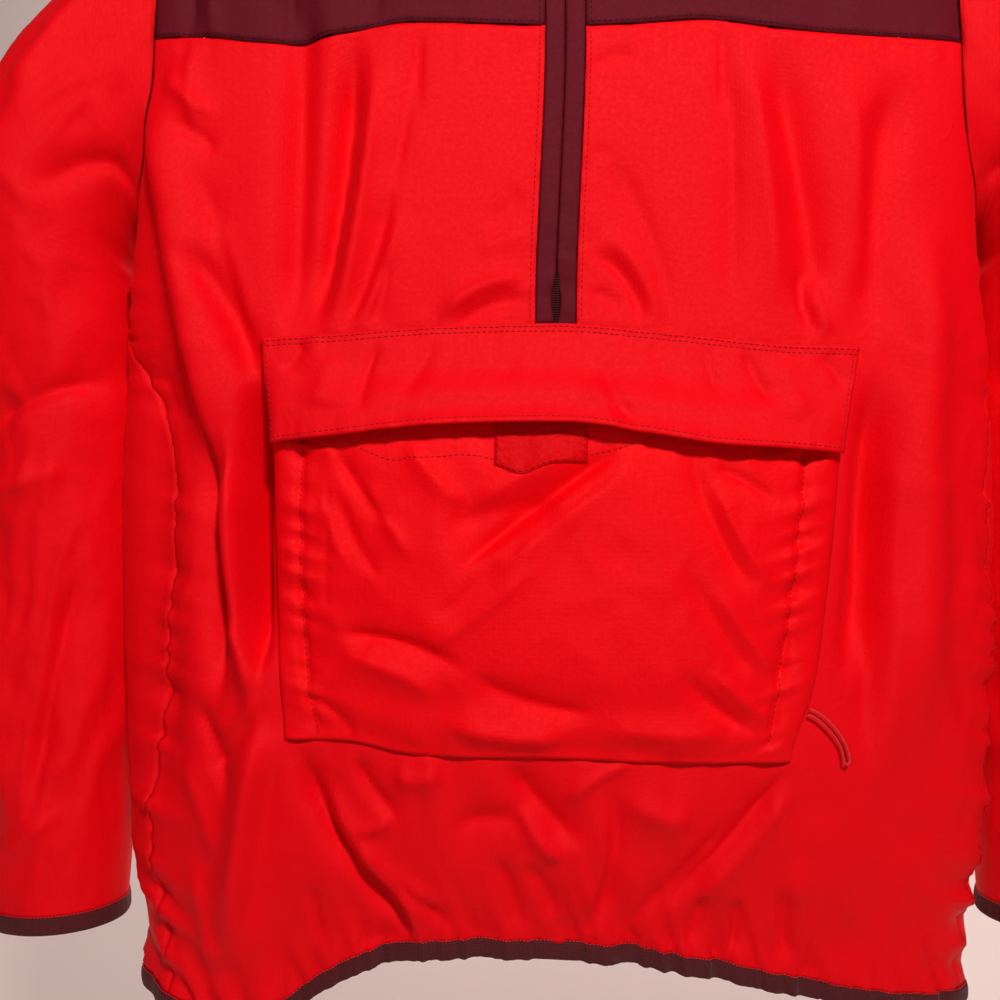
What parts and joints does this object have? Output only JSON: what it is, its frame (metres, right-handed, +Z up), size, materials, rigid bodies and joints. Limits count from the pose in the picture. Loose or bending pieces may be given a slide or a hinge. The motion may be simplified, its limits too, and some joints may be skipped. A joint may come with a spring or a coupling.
{
  "type": "anorak pullover on a hanger",
  "caption": "Half-zip anorak pullover with a contrast yoke, stand collar, elastic-bound hem and a kangaroo pocket under a flap, hung on a plain hanger.",
  "frame": {"origin": "where the hanger's hook bears on a rail", "axes": "+Z up, the chest faces -Y, +X to the right as seen from the front"},
  "size_m": [0.7332, 0.1565, 0.858],
  "materials": {
    "red_shell": "thin tight-weave shell cloth with a soft sheen",
    "maroon_shell": "the same cloth in maroon",
    "maroon_elastic": "ribbed elastic binding",
    "hook_loop": "fuzzy hook-and-loop patch",
    "red_cord": "braided cord",
    "zip_coil": "coil zip on its tape",
    "dark_metal": "dark satin metal",
    "pale_wood": "satin varnish",
    "steel": "polished steel wire"
  },
  "bodies": {
    "garment": {"back": "red_shell", "back_yoke": "maroon_shell", "collar": "maroon_shell", "cuff_binding_left": "maroon_elastic", "cuff_binding_right": "maroon_elastic", "front": "red_shell", "front_yoke_left": "maroon_shell", "front_yoke_right": "maroon_shell", "hanger_body": "pale_wood", "hanger_hook": "steel", "hem_binding": "maroon_elastic", "hook_loop_patch": "hook_loop", "pocket": "red_shell", "pocket_flap": "red_shell", "pull_cord": "red_cord", "sleeve_left": "red_shell", "sleeve_right": "red_shell", "welt_left": "maroon_shell", "welt_right": "maroon_shell", "zip_slider": "dark_metal", "zip_tape": "zip_coil"},
    "zip_pull": {"zip_pull": "dark_metal"}
  },
  "joints": [
    {"name": "zip_pull_hinge", "type": "hinge", "parent": "garment", "child": "zip_pull", "pos_m": [0.0035, -0.05081, -0.10164], "axis": [-1, 0, 0], "range_deg": [0, 150]}
  ]
}
